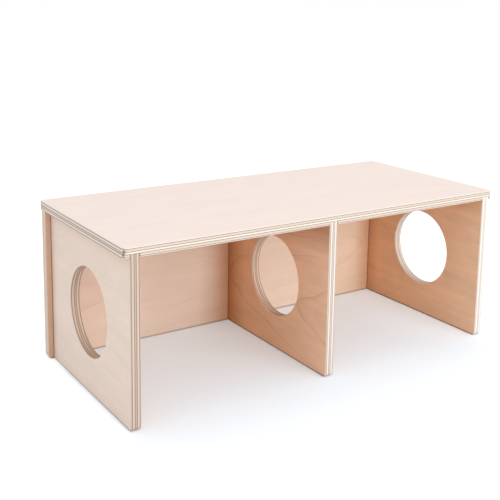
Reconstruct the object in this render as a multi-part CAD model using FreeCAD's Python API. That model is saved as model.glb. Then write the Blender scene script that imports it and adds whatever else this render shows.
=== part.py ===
import FreeCAD, Part
import os

# A small pet's house of five plywood boards, all cut from one sheet. Millimetres.
# The origin is on the floor below the middle of the roof: +X runs along the house to the right,
# -Y is the open front, +Z is up.

# Overall size
house_length = 360.7  # 14.2 in, along the roof
house_depth = 162.6  # 6.4 in, across the roof
house_height = 134.6  # 5.3 in, floor to the top of the roof

# Boards
sheet = 7.8  # thickness of the plywood
end_inset = 5.0  # from the end of the roof to the outer face of an end panel
back_setback = 5.5  # from the rear edge of the roof to the rear face of the back panel
divider_offset = 0.0  # from the middle of the house to the middle of the divider

# Round doorways, one in each upright panel and all on one line
doorway_diameter = 70.0
doorway_height = 65.0  # centre above the floor

# Grooves that hold the panels
groove_depth = 3.0
side_clearance = 0.1  # between a panel and each wall of its groove
seat_clearance = 0.0  # between a panel's end and the bottom of its groove

# Rounding
roof_corner_radius = 4.5
foot_corner_radius = 4.0
eased_edge = 0.8

# Places that several boards share
half_length = house_length / 2
front_y = -house_depth / 2
rear_y = house_depth / 2
back_rear_y = rear_y - back_setback
back_front_y = back_rear_y - sheet
roof_underside = house_height - sheet
panel_top = roof_underside + groove_depth - seat_clearance
panel_rear = back_front_y + groove_depth - seat_clearance
doorway_y = (front_y + back_front_y) / 2

# Each upright panel by its name and the x of its middle plane
upright_centres = {
    "left_end_panel": -half_length + end_inset + sheet / 2,
    "divider_panel": divider_offset,
    "right_end_panel": half_length - end_inset - sheet / 2,
}

tolerance = 1e-4
spill = 1.0  # how far a cutting tool runs past the board


def box(low, high):
    size = [b - a for a, b in zip(low, high)]
    return Part.makeBox(*size, FreeCAD.Vector(*low))


def edges_where(shape, test):
    """Edges whose two ends both pass the test."""
    return [e for e in shape.Edges if all(test(v.Point) for v in e.Vertexes)]


def near(a, b):
    return abs(a - b) < tolerance


def round_corners(board, radius, axis, at_corner):
    """Round those corners of the board's outline that pass the test."""
    corners = edges_where(board, at_corner)
    through = [e for e in corners if not near(e.Vertexes[0].Point[axis], e.Vertexes[1].Point[axis])]
    return board.makeFillet(radius, through)


def ease_outline(board, axis, faces, hidden):
    """Ease the edges round both faces of a board, apart from those hidden in a groove."""
    picked = []
    for level in faces:
        for edge in edges_where(board, lambda p: near(p[axis], level)):
            if not all(hidden(v.Point) for v in edge.Vertexes):
                picked.append(edge)
    return board.makeFillet(eased_edge, picked)


def panel_groove(centre):
    """Space for an upright panel: let into the roof and into the back panel."""
    half_width = sheet / 2 + side_clearance
    return box(
        (centre - half_width, front_y - spill, -spill),
        (centre + half_width, back_front_y + groove_depth, roof_underside + groove_depth),
    )


def back_groove():
    """Space for the back panel in the roof, open at both ends."""
    return box(
        (-half_length - spill, back_front_y - side_clearance, -spill),
        (half_length + spill, back_rear_y + side_clearance, roof_underside + groove_depth),
    )


def roof_board():
    board = box((-half_length, front_y, roof_underside), (half_length, rear_y, house_height))
    board = round_corners(
        board,
        roof_corner_radius,
        2,
        lambda p: near(abs(p.x), half_length) and near(abs(p.y), rear_y),
    )
    board = ease_outline(board, 2, (roof_underside, house_height), lambda p: False)
    for centre in upright_centres.values():
        board = board.cut(panel_groove(centre))
    return board.cut(back_groove())


def back_panel():
    board = box((-half_length, back_front_y, 0), (half_length, back_rear_y, panel_top))
    board = round_corners(
        board, foot_corner_radius, 1, lambda p: near(abs(p.x), half_length) and near(p.z, 0)
    )
    board = ease_outline(
        board, 1, (back_front_y, back_rear_y), lambda p: near(p.z, panel_top)
    )
    for centre in upright_centres.values():
        board = board.cut(panel_groove(centre))
    return board


def upright_panel(centre):
    left, right = centre - sheet / 2, centre + sheet / 2
    board = box((left, front_y, 0), (right, panel_rear, panel_top))
    board = round_corners(
        board, foot_corner_radius, 0, lambda p: near(p.y, front_y) and near(p.z, 0)
    )
    board = ease_outline(
        board, 0, (left, right), lambda p: near(p.z, panel_top) or near(p.y, panel_rear)
    )
    doorway = Part.makeCylinder(
        doorway_diameter / 2,
        sheet + 2 * spill,
        FreeCAD.Vector(left - spill, doorway_y, doorway_height),
        FreeCAD.Vector(1, 0, 0),
    )
    return board.cut(doorway)


def main():
    pieces = {"roof_board": roof_board(), "back_panel": back_panel()}
    for name, centre in upright_centres.items():
        pieces[name] = upright_panel(centre)
    os.makedirs("parts", exist_ok=True)
    for name, shape in pieces.items():
        shape.exportStep(os.path.join("parts", name + ".step"))
        print(name, "solids", len(shape.Solids), "valid", shape.isValid(), "volume", round(shape.Volume))


main()
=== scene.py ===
from math import cos, pi, radians, sin

import bpy
from mathutils import Matrix, Vector


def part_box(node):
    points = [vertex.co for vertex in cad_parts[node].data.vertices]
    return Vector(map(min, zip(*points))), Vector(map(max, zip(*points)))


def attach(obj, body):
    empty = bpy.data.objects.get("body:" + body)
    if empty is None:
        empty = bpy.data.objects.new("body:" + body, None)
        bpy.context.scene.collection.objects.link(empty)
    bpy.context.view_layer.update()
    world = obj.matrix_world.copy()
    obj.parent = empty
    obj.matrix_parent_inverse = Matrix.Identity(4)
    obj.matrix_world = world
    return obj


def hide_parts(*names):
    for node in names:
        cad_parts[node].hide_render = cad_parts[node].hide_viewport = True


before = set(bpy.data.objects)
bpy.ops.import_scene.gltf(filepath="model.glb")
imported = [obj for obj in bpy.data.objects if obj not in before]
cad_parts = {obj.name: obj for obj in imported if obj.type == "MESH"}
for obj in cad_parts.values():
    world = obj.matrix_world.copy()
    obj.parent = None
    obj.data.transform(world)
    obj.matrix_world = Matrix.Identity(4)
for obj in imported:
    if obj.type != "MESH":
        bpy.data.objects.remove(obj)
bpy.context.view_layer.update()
print("frame loaded:", ", ".join(sorted(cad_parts)))

mm = 0.001
axisX, axisY, axisZ = 0, 1, 2


# Small tools for modelling

def makeActive(obj):
    bpy.ops.object.select_all(action="DESELECT")
    obj.select_set(True)
    bpy.context.view_layer.objects.active = obj


def selectEdges(obj, test):
    # nothing else stays selected, so edges are then picked by their two ends
    makeActive(obj)
    bpy.ops.object.mode_set(mode="EDIT")
    bpy.ops.mesh.select_mode(type="EDGE")
    bpy.ops.mesh.select_all(action="DESELECT")
    bpy.ops.object.mode_set(mode="OBJECT")
    points = obj.data.vertices
    for edge in obj.data.edges:
        a, b = (points[i].co for i in edge.vertices)
        edge.select = test(a, b, edge.key)


def bevelSelected(width, segments):
    bpy.ops.object.mode_set(mode="EDIT")
    bpy.ops.mesh.bevel(offset=width, segments=segments, affect="EDGES", clamp_overlap=True)
    bpy.ops.object.mode_set(mode="OBJECT")


shaping = {
    "sharpAbove": radians(50), "smoothBelow": radians(20), "easeSteps": 3,
    "sameSpot": 0.02 * mm, "sameRim": 0.1 * mm,
}


def near(a, b, slack=shaping["sameSpot"]):
    return abs(a - b) < slack


def slab(name, low, high):
    bpy.ops.object.select_all(action="DESELECT")
    middle = [(a + b) / 2 for a, b in zip(low, high)]
    bpy.ops.mesh.primitive_cube_add(size=1, location=middle)
    obj = bpy.context.object
    obj.name = name
    obj.scale = [b - a for a, b in zip(low, high)]
    bpy.ops.object.transform_apply(location=True, rotation=True, scale=True)
    return obj


def cutAway(obj, cutter):
    makeActive(obj)
    cut = obj.modifiers.new("cut", "BOOLEAN")
    cut.operation = "DIFFERENCE"
    cut.solver = "EXACT"
    cut.object = cutter
    bpy.ops.object.modifier_apply(modifier=cut.name)
    bpy.data.objects.remove(cutter, do_unlink=True)


def sharpEdges(obj, limit):
    normals = {}
    for face in obj.data.polygons:
        for key in face.edge_keys:
            normals.setdefault(key, []).append(face.normal)
    return {k for k, n in normals.items() if len(n) == 2 and n[0].angle(n[1], 0) > limit}


def easeArrises(obj, width, isHidden):
    # sanded edges all round, but not where the board is seated in a groove
    sharp = sharpEdges(obj, shaping["sharpAbove"])
    selectEdges(obj, lambda a, b, key: key in sharp and not (isHidden(a) and isHidden(b)))
    bevelSelected(width, shaping["easeSteps"])


def finishShading(obj):
    makeActive(obj)
    bpy.ops.object.shade_smooth_by_angle(angle=shaping["smoothBelow"])
    weigh = obj.modifiers.new("weigh", "WEIGHTED_NORMAL")
    weigh.keep_sharp = True
    bpy.ops.object.modifier_apply(modifier=weigh.name)


# Shader maths: a wrapped socket, on which operators add Math nodes

class Value:
    def __init__(self, tree, socket):
        self.tree = tree
        self.socket = socket

    def maths(self, operation, *others, clamp=False):
        node = self.tree.nodes.new("ShaderNodeMath")
        node.operation = operation
        node.use_clamp = clamp
        for slot, item in zip(node.inputs, (self,) + others):
            if isinstance(item, Value):
                self.tree.links.new(item.socket, slot)
            else:
                slot.default_value = item
        return Value(self.tree, node.outputs[0])

    def __add__(self, other):
        return self.maths("ADD", other)

    def __sub__(self, other):
        return self.maths("SUBTRACT", other)

    def __mul__(self, other):
        return self.maths("MULTIPLY", other)

    def __truediv__(self, other):
        return self.maths("DIVIDE", other)

    def __pow__(self, other):
        return self.maths("POWER", other)

    def __abs__(self):
        return self.maths("ABSOLUTE")

    def __rsub__(self, other):
        return self * -1 + other

    __radd__ = __add__
    __rmul__ = __mul__

    def over(self, edge, soft):
        # 0 below the edge, 1 above it, over a stretch as long as soft
        return ((self - edge) / soft + 0.5).maths("ADD", 0.0, clamp=True)

    def least(self, other):
        return self.maths("MINIMUM", other)


class Recipe:
    def __init__(self, tree):
        self.tree = tree

    def node(self, kind, settings=None, sockets=None):
        made = self.tree.nodes.new(kind)
        for key, item in (settings or {}).items():
            if key == "stops":
                self.setStops(made.color_ramp, item)
            else:
                setattr(made, key, item)
        for key, item in (sockets or {}).items():
            self.feed(made.inputs[key], item)
        return made

    def setStops(self, ramp, stops):
        while len(ramp.elements) < len(stops):
            ramp.elements.new(1.0)
        for element, (place, colour) in zip(ramp.elements, stops):
            element.position = place
            element.color = colour

    def feed(self, slot, item):
        if isinstance(item, Value):
            self.tree.links.new(item.socket, slot)
        elif isinstance(item, bpy.types.NodeSocket):
            self.tree.links.new(item, slot)
        else:
            slot.default_value = item

    def split(self, vector):
        made = self.node("ShaderNodeSeparateXYZ", sockets={"Vector": vector})
        return [Value(self.tree, s) for s in made.outputs]

    def position(self):
        return self.split(self.node("ShaderNodeTexCoord").outputs["Object"])

    def facing(self):
        return self.split(self.node("ShaderNodeNewGeometry").outputs["Normal"])

    def seenRays(self):
        # rays that show the surroundings, straight or by reflection, but don't light anything
        rays = self.node("ShaderNodeLightPath").outputs
        kinds = ("Is Camera Ray", "Is Glossy Ray", "Is Transmission Ray")
        camera, glossy, through = (Value(self.tree, rays[kind]) for kind in kinds)
        return (camera + glossy + through).least(1.0)

    def noise(self, x, y, z, detail=2.0, roughness=0.5):
        spot = self.node("ShaderNodeCombineXYZ", sockets={"X": x, "Y": y, "Z": z})
        made = self.node("ShaderNodeTexNoise", sockets={
            "Vector": spot.outputs[0], "Scale": 1.0, "Detail": detail, "Roughness": roughness,
        })
        return Value(self.tree, made.outputs["Fac"])

    def ramp(self, value, stops):
        return self.node("ShaderNodeValToRGB", {"stops": stops}, {"Fac": value}).outputs["Color"]

    def mix(self, factor, a, b, blend="MIX"):
        # sockets 0, 6 and 7 of a colour Mix are its factor and its two colours
        settings = {"data_type": "RGBA", "blend_type": blend}
        return self.node("ShaderNodeMix", settings, {0: factor, 6: a, 7: b}).outputs[2]


def newFinish(name):
    material = bpy.data.materials.new(name)
    material.use_nodes = True
    recipe = Recipe(material.node_tree)
    return material, recipe, material.node_tree.nodes["Principled BSDF"]


# Plywood: two face veneers, and five plies that show on every cut edge

plies = {
    "sheet": 7.8 * mm,
    # shares of half a sheet, counted from its face
    "arris": 0.07,
    "arrisBlend": 0.03,
    "firstGlue": 0.25,
    "secondGlue": 0.78,
    "glueWidth": 0.11,
    "longGrain": (0.90, 0.80, 0.71, 1),
    "endGrain": (0.68, 0.59, 0.51, 1),
    "sanded": (0.87, 0.76, 0.67, 1),
}

# how far each kind of grain is stretched along, across and through the sheet
grains = {
    "drift": {"stretch": (5, 14, 3), "shifted": 0, "detail": 2, "roughness": 0.5},
    "fibres": {"stretch": (24, 1150, 40), "shifted": 0, "detail": 4, "roughness": 0.62},
    "streaks": {"stretch": (4.5, 140, 6), "shifted": 0, "detail": 3, "roughness": 0.5},
    "cloud": {"stretch": (9, 22, 9), "shifted": 1, "detail": 2, "roughness": 0.5},
    "mottle": {"stretch": (34, 62, 20), "shifted": 1, "detail": 3, "roughness": 0.5},
    "sway": {"stretch": (16, 26, 9), "shifted": 0, "detail": 2.5, "roughness": 0.5},
    "breaks": {"stretch": (30, 75, 20), "shifted": 2, "detail": 2, "roughness": 0.5},
    "bow": {"stretch": (18, 18, 18), "shifted": 2, "detail": 2, "roughness": 0.5},
    "nap": {"stretch": (900, 900, 900), "shifted": 2, "detail": 3, "roughness": 0.7},
    "patch": {"stretch": (55, 55, 55), "shifted": 2, "detail": 3, "roughness": 0.5},
}
# painted shade: the dark tone of the painted shadow lines along the seams and along the bottom edges
paintedShadowTone = (0.17, 0.085, 0.045, 1)

# each change has a middle and a length, as Value.over takes them
changes = {
    "ringSide": (0.006, 0.01), "breaks": (0.46, 0.40), "pores": (0.64, 0.20),
    # painted shade: the first two below place the painted shadow lines along the seams and along the
    # bottom edge
    "seamShadowLine": (0.45 * mm, 0.5 * mm), "footShade": (1.3 * mm, 1.2 * mm),
    "throughSheet": (0.5, 0.02), "edge": (0.965, 0.03), "acrossCut": (0.6, 0.3),
    "rubbed": (1.0, 0.8), "bore": (0.15 * mm, 0.1 * mm), "knot": (0.45, 0.3),
    "ridge": (0.03, 0.03),
}
amounts = {
    "fibreWander": 0.004, "streakWander": 0.012, "bow": 0.03,
    "streaks": 0.5, "cloud": 0.35, "mottle": 0.45, "excess": 0.145,     # the mixed grain
    "fineRings": 5, "fineThin": 5, "broken": 0.7, "unbroken": 0.3,      # the ring figure
    # painted shade: the first below is how dark the painted shadow line along the seams is
    "seamShadowLine": 0.75, "rubbed": 0.3, "knot": 0.85, "knotRagged": 0.9,
}
rough = {"face": 0.52, "edge": 0.16, "streaks": 0.12, "specular": 0.35}
bumps = {
    "nap": 0.6, "ridge": 0.5, "fibres": 0.35, "streaks": 0.25, "height": 0.12 * mm, "strength": 0.5,
}


def grainNoise(recipe, spots, kind, seed):
    made = grains[kind]
    scaled = [spot * size for spot, size in zip(spots, made["stretch"])]
    scaled[made["shifted"]] = scaled[made["shifted"]] + seed
    return recipe.noise(*scaled, made["detail"], made["roughness"])


def plyStops(outer, inner, glue):
    # colours from a face of the sheet to its middle: veneer, cross ply, centre ply
    line = plies["glueWidth"]
    first, second = plies["firstGlue"], plies["secondGlue"]
    return [
        (plies["arris"], plies["sanded"]), (plies["arris"] + plies["arrisBlend"], outer),
        (first - line, outer), (first, glue), (first + line, inner),
        (second - line, inner), (second, glue), (second + line, outer),
    ]


def veneerFigure(recipe, spots, look):
    # growth rings cut at a slant: nested arches along the grain, each with one crisp side
    along, over, through = spots
    arch = look["arch"]
    rise = over - arch["heart"]
    sway = grainNoise(recipe, spots, "sway", look["seed"])
    field = along * arch["opens"] + rise * rise / arch["narrow"] + (sway - 0.5) * arch["sway"]
    turns = (field - arch["first"]) / arch["spacing"]
    ring = turns.maths("FRACT")
    late = ring ** arch["thin"] * (1 - ring).over(*changes["ringSide"])
    fine = (turns * amounts["fineRings"]).maths("FRACT") ** amounts["fineThin"]
    broken = grainNoise(recipe, spots, "breaks", look["seed"]).over(*changes["breaks"])
    late = late * (broken * amounts["broken"] + amounts["unbroken"])
    return (late + fine * broken * arch["fine"]) * arch["strength"]


def distanceTo(place, seams):
    # how far a point is from the nearest seam; each is an axis, a place and a side
    offsets = [(place[axis] - at, side) for axis, at, side in seams]
    gaps = [abs(offset) if side == 0 else offset * side for offset, side in offsets]
    nearest = gaps[0]
    for gap in gaps[1:]:
        nearest = nearest.least(gap)
    return nearest


def veneerFace(recipe, face, place, grain, fibres, figure):
    tone = face["tone"]
    colour = recipe.ramp(grain, [(at, tone[kind]) for kind, at in toneStops])
    colour = recipe.mix(figure, colour, tone["line"])
    colour = recipe.mix(fibres.over(*changes["pores"]) * face["pores"], colour, tone["line"])
    # painted light and shade: the face is made lighter or darker along an axis
    for axis, middle, length, change in face.get("paintedShading", ()):
        colour = recipe.mix(place[axis].over(middle, length), colour, change, "MULTIPLY")
    if "seams" in face:
        # painted shade: darker and warmer in the corners, with a painted shadow line where the boards
        # meet
        away = distanceTo(place, face["seams"])
        inCornerShade = 1 - away.over(face["cornerShadeReach"] / 2, face["cornerShadeReach"])
        colour = recipe.mix(inCornerShade, colour, face["cornerShadeTone"], "MULTIPLY")
        seamShadowLine = 1 - away.over(*changes["seamShadowLine"])
        colour = recipe.mix(seamShadowLine * amounts["seamShadowLine"], colour, paintedShadowTone)
    return colour


def plywood(name, thick, low, grain, look):
    material, recipe, surface = newFinish(name)
    across = 3 - thick - grain
    place = recipe.position()
    normal = recipe.facing()
    depth = (place[thick] - low) / plies["sheet"]
    along, over, through = place[grain], place[across], place[thick]
    spots = (along, over, through)
    seed = look["seed"]

    # fine fibres, broader streaks, clouds and mottling, all stretched along the grain
    drift = grainNoise(recipe, spots, "drift", seed)
    fibreOver = over + drift * amounts["fibreWander"]
    fibres = grainNoise(recipe, (along, fibreOver, through), "fibres", seed)
    streakOver = over + drift * amounts["streakWander"]
    streaks = grainNoise(recipe, (along, streakOver, through), "streaks", seed)
    cloud = grainNoise(recipe, spots, "cloud", seed)
    mottle = grainNoise(recipe, spots, "mottle", seed)
    mixed = streaks * amounts["streaks"] + cloud * amounts["cloud"]
    mixed = mixed + mottle * amounts["mottle"] - amounts["excess"]
    figure = veneerFigure(recipe, spots, look)
    lowFace = veneerFace(recipe, look["lowFace"], place, mixed, fibres, figure)
    highFace = veneerFace(recipe, look["highFace"], place, mixed, fibres, figure)
    veneered = recipe.mix(depth.over(*changes["throughSheet"]), lowFace, highFace)

    # cut edges: light and dark plies swap where the cut runs across the grain
    bow = grainNoise(recipe, place, "bow", seed)
    ply = 1 - abs(depth + (bow - 0.5) * amounts["bow"] - 0.5) * 2
    alongCut = recipe.ramp(ply, plyStops(plies["longGrain"], plies["endGrain"], look["glue"]))
    acrossCut = recipe.ramp(ply, plyStops(plies["endGrain"], plies["longGrain"], look["glue"]))
    bands = recipe.mix(abs(normal[grain]).over(*changes["acrossCut"]), alongCut, acrossCut)
    nap = grainNoise(recipe, place, "nap", seed)
    patch = grainNoise(recipe, place, "patch", seed)
    rubbed = (nap + patch).over(*changes["rubbed"]) * amounts["rubbed"]
    edge = recipe.mix(rubbed, bands, look["edgeTone"])
    edge = recipe.mix(1.0, edge, look["edgeTint"], "MULTIPLY")
    if "boreTint" in look:
        # the wall of the doorway, but not its pale rims
        middleY, middleZ, radius = look["bore"]
        beyond, blend = changes["bore"]
        y, z = place[axisY] - middleY, place[axisZ] - middleZ
        inBore = 1 - ((y * y + z * z) ** 0.5).over(radius + beyond, blend)
        edge = recipe.mix(inBore, edge, look["boreTint"], "MULTIPLY")
    for knot in look.get("knots", ()):
        gaps = [(p - q) / knot["size"] for p, q in zip(place, knot["at"])]
        reach = (gaps[0] * gaps[0] + gaps[1] * gaps[1] + gaps[2] * gaps[2]) ** 0.5
        spot = (1 - reach + (nap - 0.5) * amounts["knotRagged"]).over(*changes["knot"])
        edge = recipe.mix(spot * amounts["knot"], edge, knot["tone"])

    onEdge = 1 - (abs(depth - 0.5) * 2).over(*changes["edge"])
    colour = recipe.mix(onEdge, veneered, edge)
    # painted shade: a dark line along the bottom edge, where the board stands on the floor
    footShade = 1 - place[axisZ].over(*changes["footShade"])
    colour = recipe.mix(footShade * look["footShade"], colour, paintedShadowTone)
    recipe.feed(surface.inputs["Base Color"], colour)
    roughness = onEdge * rough["edge"] + streaks * rough["streaks"] + rough["face"]
    recipe.feed(surface.inputs["Roughness"], roughness)
    surface.inputs["Specular IOR Level"].default_value = rough["specular"]

    ridges = abs(ply - plies["firstGlue"]).over(*changes["ridge"]) * bumps["ridge"]
    edgeRelief = nap * bumps["nap"] + ridges
    faceRelief = fibres * bumps["fibres"] + streaks * bumps["streaks"]
    bump = recipe.node("ShaderNodeBump", sockets={
        "Height": edgeRelief * onEdge + faceRelief * (1 - onEdge),
        "Distance": bumps["height"], "Strength": bumps["strength"],
    })
    recipe.feed(surface.inputs["Normal"], bump.outputs[0])
    return material


# Tones of the veneers, as light, middle and dark streaks, and the fine lines

toneStops = [("dark", 0.30), ("mid", 0.52), ("light", 0.72)]
darkReach = 1.2                # how much further the dark streaks go than the light ones


def veneer(mid, spread, line):
    return {
        "light": tuple(min(1.0, c * (1 + spread)) for c in mid) + (1,),
        "mid": tuple(mid) + (1,),
        "dark": tuple(c * (1 - spread * darkReach) for c in mid) + (1,),
        "line": tuple(line) + (1,),
    }


veneers = {
    "roofTop": veneer((0.922, 0.795, 0.725), 0.018, (0.78, 0.64, 0.55)),
    "outerSide": veneer((0.846, 0.706, 0.610), 0.055, (0.62, 0.45, 0.35)),
    "backInside": veneer((0.835, 0.68, 0.565), 0.04, (0.58, 0.385, 0.27)),
    "inside": veneer((0.91, 0.62, 0.445), 0.075, (0.50, 0.25, 0.14)),
    "insideRight": veneer((0.90, 0.62, 0.435), 0.09, (0.52, 0.27, 0.15)),
}


# The boards. Their sizes and places come from the frame

def boxOf(node):
    low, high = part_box(node)
    return list(low), list(high)


uprightNames = ["left_end_panel", "divider_panel", "right_end_panel"]
roofLow, roofHigh = boxOf("roof_board")
backLow, backHigh = boxOf("back_panel")
joints = {"sideClearance": 0.1 * mm, "pastBoard": 2.0 * mm}
grooveMouth = roofLow[2]                                   # where the roof's underside is
uprightSides = [x for node in uprightNames for x in (boxOf(node)[0][0], boxOf(node)[1][0])]

# seams are an axis, a place and a side; the painted shading is an axis, a middle, a length and a tone
uprightSeams = [(axisZ, grooveMouth, -1), (axisY, backLow[1], -1)]
backSeams = [(axisZ, grooveMouth, -1)] + [(axisX, x, 0) for x in uprightSides]

# painted light and shade: in these faces the corner tones and the tones along an axis
faces = {
    "roofTop": {"tone": veneers["roofTop"], "pores": 0.10},
    "underRoof": {"tone": veneers["inside"], "pores": 0.15},
    "outerSide": {
        "tone": veneers["outerSide"], "pores": 0.20,
        "seams": uprightSeams, "cornerShadeReach": 8 * mm, "cornerShadeTone": (0.93, 0.89, 0.86, 1),
    },
    "outerBack": {
        "tone": veneers["outerSide"], "pores": 0.16,
        "seams": uprightSeams[:1], "cornerShadeReach": 8 * mm, "cornerShadeTone": (0.93, 0.89, 0.86, 1),
    },
    "backInside": {
        "tone": veneers["backInside"], "pores": 0.14,
        "paintedShading": [
            # painted light: the right room is lighter and warmer
            (axisX, 0.10, 0.10, (1.13, 1.09, 1.03, 1)),
            # painted shade: darker in the left room towards the divider, and then taken back for the
            # right room
            (axisX, -0.020, 0.034, (0.92, 0.79, 0.69, 1)),
            (axisX, 0.0, 0.004, (1.087, 1.266, 1.449, 1)),
            # painted shade: darker on the strips past the end panels
            (axisX, uprightSides[0] + 0.15 * mm, -0.001, (0.84, 0.79, 0.76, 1)),
            (axisX, uprightSides[-1] - 0.15 * mm, 0.001, (0.84, 0.86, 0.90, 1)),
        ],
        "seams": backSeams, "cornerShadeReach": 18 * mm, "cornerShadeTone": (0.97, 0.79, 0.67, 1),
    },
    "inside": {
        "tone": veneers["inside"], "pores": 0.22,
        # painted shade: darker and warmer away from the open front
        "paintedShading": [(axisY, 0.0, 0.16, (0.89, 0.72, 0.55, 1))],     # away from the open front
        "seams": uprightSeams, "cornerShadeReach": 28 * mm, "cornerShadeTone": (0.65, 0.50, 0.38, 1),
    },
    "insideRight": {
        "tone": veneers["insideRight"], "pores": 0.22,
        # painted shade: darker and warmer away from the open front
        "paintedShading": [(axisY, 0.0, 0.16, (0.95, 0.81, 0.65, 1))],
        "seams": uprightSeams, "cornerShadeReach": 16 * mm, "cornerShadeTone": (0.84, 0.76, 0.70, 1),
    },
}
edgeTones = {
    "edgeTone": (0.64, 0.50, 0.40, 1), "edgeTint": (1, 1, 1, 1),
    # the last entry sets the strength of the painted shade along the bottom edge
    "glue": (0.20, 0.13, 0.095, 1), "footShade": 0.6,
}


def fitBoard(obj, node, material):
    obj.data.materials.clear()
    obj.data.materials.append(material)
    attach(obj, "root")
    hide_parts(node)


def cutUprightGrooves(obj):
    slack, past = joints["sideClearance"], joints["pastBoard"]
    for node in uprightNames:
        low, high = boxOf(node)
        cutAway(obj, slab(
            "cutter",
            (low[0] - slack, low[1] - past, low[2] - past),
            (high[0] + slack, high[1], high[2]),
        ))


def cutBackGroove(obj):
    slack, past = joints["sideClearance"], joints["pastBoard"]
    cutAway(obj, slab(
        "cutter",
        (backLow[0] - past, backLow[1] - slack, backLow[2]),
        (backHigh[0] + past, backHigh[1] + slack, backHigh[2]),
    ))


roof = {
    "cornerRadius": 4.5 * mm, "cornerSteps": 10, "eased": 0.8 * mm,
    "look": {
        **edgeTones, "seed": 3.1, "lowFace": faces["underRoof"], "highFace": faces["roofTop"],
        "glue": (0.12, 0.085, 0.065, 1),
        "arch": {
            "heart": -0.01, "opens": 1, "narrow": 0.006, "first": 0.0, "spacing": 0.16, "sway": 0.10,
            "thin": 8, "fine": 0.5, "strength": 0.10,
        },
        "knots": [
            {"at": (-0.1790, -0.0800, 0.1320), "size": 2.1 * mm, "tone": (0.26, 0.14, 0.08, 1)},
            {"at": (-0.1793, -0.0797, 0.1296), "size": 2.1 * mm, "tone": (0.26, 0.14, 0.08, 1)},
        ],
    },
}


def makeRoof():
    board = slab("roof", roofLow, roofHigh)
    atCorner = lambda p: near(abs(p.x), roofHigh[0]) and near(abs(p.y), roofHigh[1])
    selectEdges(board, lambda a, b, key: atCorner(a) and atCorner(b) and not near(a.z, b.z))
    bevelSelected(roof["cornerRadius"], roof["cornerSteps"])
    easeArrises(board, roof["eased"], lambda p: False)
    cutUprightGrooves(board)
    cutBackGroove(board)
    finishShading(board)
    ply = plywood("roofPly", axisZ, roofLow[2], axisX, roof["look"])
    fitBoard(board, "roof_board", ply)


back = {
    "footRadius": 4.0 * mm, "footSteps": 10, "eased": 0.8 * mm,
    "look": {
        **edgeTones, "seed": 8.4, "lowFace": faces["backInside"], "highFace": faces["outerBack"],
        "edgeTint": (1.0, 0.97, 0.97, 1), "glue": (0.50, 0.41, 0.35, 1),
        "arch": {
            "heart": 0.05, "opens": 1, "narrow": 0.008, "first": 0.02, "spacing": 0.14, "sway": 0.07,
            "thin": 10, "fine": 0.3, "strength": 0.22,
        },
    },
}


def makeBack():
    board = slab("back", backLow, backHigh)
    atFoot = lambda p: near(abs(p.x), backHigh[0]) and near(p.z, backLow[2])
    selectEdges(board, lambda a, b, key: atFoot(a) and atFoot(b) and not near(a.y, b.y))
    bevelSelected(back["footRadius"], back["footSteps"])
    easeArrises(board, back["eased"], lambda p: near(p.z, backHigh[2]))
    cutUprightGrooves(board)
    finishShading(board)
    ply = plywood("backPly", axisY, backLow[1], axisX, back["look"])
    fitBoard(board, "back_panel", ply)


upright = {
    "footRadius": 4.0 * mm, "footSteps": 10, "eased": 0.8 * mm,
    "doorwayRadius": 35.0 * mm, "doorwayHeight": 65.0 * mm, "doorwaySteps": 128, "rim": 0.8 * mm,
    "looks": {
        "left_end_panel": {
            **edgeTones, "seed": 1.7, "lowFace": faces["outerSide"], "highFace": faces["inside"],
            "edgeTint": (0.74, 0.68, 0.65, 1), "boreTint": (0.98, 0.93, 0.89, 1),
            "arch": {
                "heart": 0.06, "opens": 1, "narrow": 0.0022, "first": 0.03, "spacing": 0.30,
                "sway": 0.22, "thin": 14, "fine": 0.25, "strength": 0.24,
            },
        },
        "divider_panel": {
            **edgeTones, "seed": 5.2, "lowFace": faces["inside"], "highFace": faces["inside"],
            "edgeTint": (0.96, 0.98, 1.01, 1), "boreTint": (0.90, 0.78, 0.67, 1), "footShade": 0.9,
            "arch": {
                "heart": 0.050, "opens": 1, "narrow": 0.0165, "first": -0.045, "spacing": 0.112,
                "sway": 0.045, "thin": 30, "fine": 0.22, "strength": 0.55,
            },
        },
        "right_end_panel": {
            **edgeTones, "seed": 9.6, "lowFace": faces["insideRight"], "highFace": faces["outerSide"],
            "edgeTint": (0.96, 1.05, 1.13, 1), "boreTint": (0.90, 0.82, 0.76, 1),
            "glue": (0.60, 0.47, 0.38, 1), "footShade": 0.9,
            "arch": {
                "heart": 0.035, "opens": -1, "narrow": 0.05, "first": 0.137, "spacing": 0.15,
                "sway": 0.03, "thin": 60, "fine": 0.12, "strength": 0.34,
            },
        },
    },
}


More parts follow.
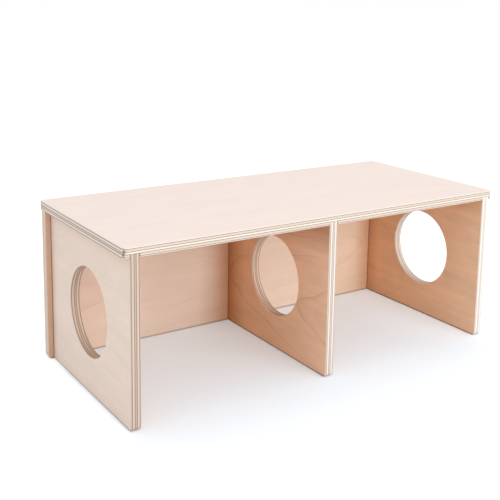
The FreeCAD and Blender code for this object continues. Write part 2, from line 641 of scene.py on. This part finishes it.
def makeUpright(node):
    low, high = boxOf(node)
    board = slab(node.replace("_panel", ""), low, high)
    atFoot = lambda p: near(p.y, low[1]) and near(p.z, low[2])
    selectEdges(board, lambda a, b, key: atFoot(a) and atFoot(b))
    bevelSelected(upright["footRadius"], upright["footSteps"])
    easeArrises(board, upright["eased"], lambda p: near(p.z, high[2]) or near(p.y, high[1]))

    # the doorway is centred in the depth of the room
    radius = upright["doorwayRadius"]
    centre = Vector(((low[0] + high[0]) / 2, (low[1] + backLow[1]) / 2, upright["doorwayHeight"]))
    bpy.ops.object.select_all(action="DESELECT")
    bpy.ops.mesh.primitive_cylinder_add(
        vertices=upright["doorwaySteps"], radius=radius, depth=3 * (high[0] - low[0]),
        location=centre, rotation=(0, pi / 2, 0),
    )
    cutter = bpy.context.object
    bpy.ops.object.transform_apply(location=True, rotation=True, scale=True)
    cutAway(board, cutter)
    onRim = lambda p: near((p.yz - centre.yz).length, radius, shaping["sameRim"])
    selectEdges(board, lambda a, b, key: onRim(a) and onRim(b) and near(a.x, b.x))
    bevelSelected(upright["rim"], shaping["easeSteps"])
    finishShading(board)
    look = {**upright["looks"][node], "bore": (centre.y, centre.z, radius)}
    ply = plywood(node.split("_")[0] + "Ply", axisX, low[0], axisY, look)
    fitBoard(board, node, ply)


makeRoof()
print("roof made")
makeBack()
print("back made")
for node in uprightNames:
    makeUpright(node)
print("uprights made")


# Floor, light and camera

studio = {
    "floorSize": 30.0, "floorColour": (0.80, 0.80, 0.80, 1),
    # painted light and shade: near the house and in front of it, the paper seen by the camera is less
    # red and more blue, against the warm light bounced from the wood
    "paperPaintedNear": (0.72, 0.80, 0.885, 1), "paperFar": (0.80, 0.80, 0.81, 1),
    "nearLift": 0.22, "farLift": 1.0,
    # where the paper turns white, in metres: all round, and then on each side
    "fadeFrom": 0.25, "fadeLength": 0.7,
    "leftFade": (0.182, 0.014), "cornerFade": (0.215, 0.06),
    "frontFade": (0.40, 0.70), "rightFade": (0.40, 0.60),
    "shownFade": (0.24, 0.16), "behind": (0.085, 0.03),
    "cornerSlant": 0.4, "roughness": 0.9, "specular": 0.0, "fill": 0.89,
}


def makeFloor():
    bpy.ops.object.select_all(action="DESELECT")
    bpy.ops.mesh.primitive_plane_add(size=studio["floorSize"], location=(0, 0, 0))
    floor = bpy.context.object
    floor.name = "floor"
    material, recipe, surface = newFinish("floorPaper")
    surface.inputs["Roughness"].default_value = studio["roughness"]
    surface.inputs["Specular IOR Level"].default_value = studio["specular"]
    # seen by the camera, the paper fades to white away from the house; painted light: the glow also
    # comes in close to the left of the house and behind its left end, where it lifts the shadow away
    x, y, z = recipe.position()
    away = (x * x + y * y) ** 0.5
    far = away.over(studio["fadeFrom"] + studio["fadeLength"] / 2, studio["fadeLength"])
    slanted = y * studio["cornerSlant"] - x
    ways = [(x * -1, "leftFade"), (slanted, "cornerFade"), (y * -1, "frontFade"), (x, "rightFade")]
    for way, reach in ways:
        far = far.maths("MAXIMUM", way.over(*studio[reach]))
    lift = far * (studio["farLift"] - studio["nearLift"]) + studio["nearLift"]
    seen = recipe.seenRays()
    glow = recipe.node("ShaderNodeEmission", sockets={"Strength": seen * lift})
    outside = away.over(*studio["shownFade"]).maths("MAXIMUM", y.over(*studio["behind"]))
    shown = recipe.mix(outside, studio["paperPaintedNear"], studio["paperFar"])
    paper = recipe.mix(seen, studio["floorColour"], shown)
    recipe.feed(surface.inputs["Base Color"], paper)
    both = recipe.node("ShaderNodeAddShader", sockets={0: surface.outputs[0], 1: glow.outputs[0]})
    recipe.feed(recipe.tree.nodes["Material Output"].inputs["Surface"], both.outputs[0])
    floor.data.materials.append(material)


def makeWorld():
    world = bpy.data.worlds.new("studio")
    bpy.context.scene.world = world
    world.use_nodes = True
    recipe = Recipe(world.node_tree)
    background = world.node_tree.nodes["Background"]
    background.inputs["Color"].default_value = (1, 1, 1, 1)
    seen = recipe.seenRays()
    recipe.feed(background.inputs["Strength"], seen * (1 - studio["fill"]) + studio["fill"])


lamps = [
    {"name": "keySoftbox", "at": (0.5, -1.6, 0.5), "aim": (0, 0, 0.05), "size": 1.2, "power": 13.8},
    {"name": "frontSoftbox", "at": (-0.55, -1.6, 0.75), "aim": (0, 0, 0.05), "size": 1.2, "power": 2.3},
]


def makeLamps():
    for lamp in lamps:
        data = bpy.data.lights.new(lamp["name"], "AREA")
        data.shape = "SQUARE"
        data.size = lamp["size"]
        data.energy = lamp["power"]
        obj = bpy.data.objects.new(lamp["name"], data)
        bpy.context.collection.objects.link(obj)
        obj.location = lamp["at"]
        obj.rotation_euler = (Vector(lamp["aim"]) - obj.location).to_track_quat("-Z", "Y").to_euler()


# The eye stands in front of the left end, a little above the roof
eye = {
    "at": (-0.41886, -0.59832, 0.30407),
    "turn": -33.258, "tip": 10.154, "roll": 0.877,     # degrees
    "focalPixels": 872.4, "imagePixels": 500, "shiftY": -0.20, "sensor": 36.0,
}


def makeCamera():
    data = bpy.data.cameras.new("camera")
    data.sensor_width = eye["sensor"]
    data.lens = eye["focalPixels"] / eye["imagePixels"] * eye["sensor"]
    data.shift_y = eye["shiftY"]
    obj = bpy.data.objects.new("camera", data)
    bpy.context.collection.objects.link(obj)
    turn, tip = radians(eye["turn"]), radians(eye["tip"])
    behind = Vector((sin(turn) * cos(tip), -cos(turn) * cos(tip), sin(tip)))
    right = Vector((0, 0, 1)).cross(behind).normalized()
    level = Matrix((right, behind.cross(right), behind)).transposed()
    rolled = level @ Matrix.Rotation(radians(eye["roll"]), 3, "Z")
    obj.matrix_world = Matrix.Translation(eye["at"]) @ rolled.to_4x4()
    bpy.context.scene.camera = obj


makeFloor()
makeWorld()
makeLamps()
makeCamera()
bpy.context.scene.view_settings.view_transform = "Standard"
print("studio made")
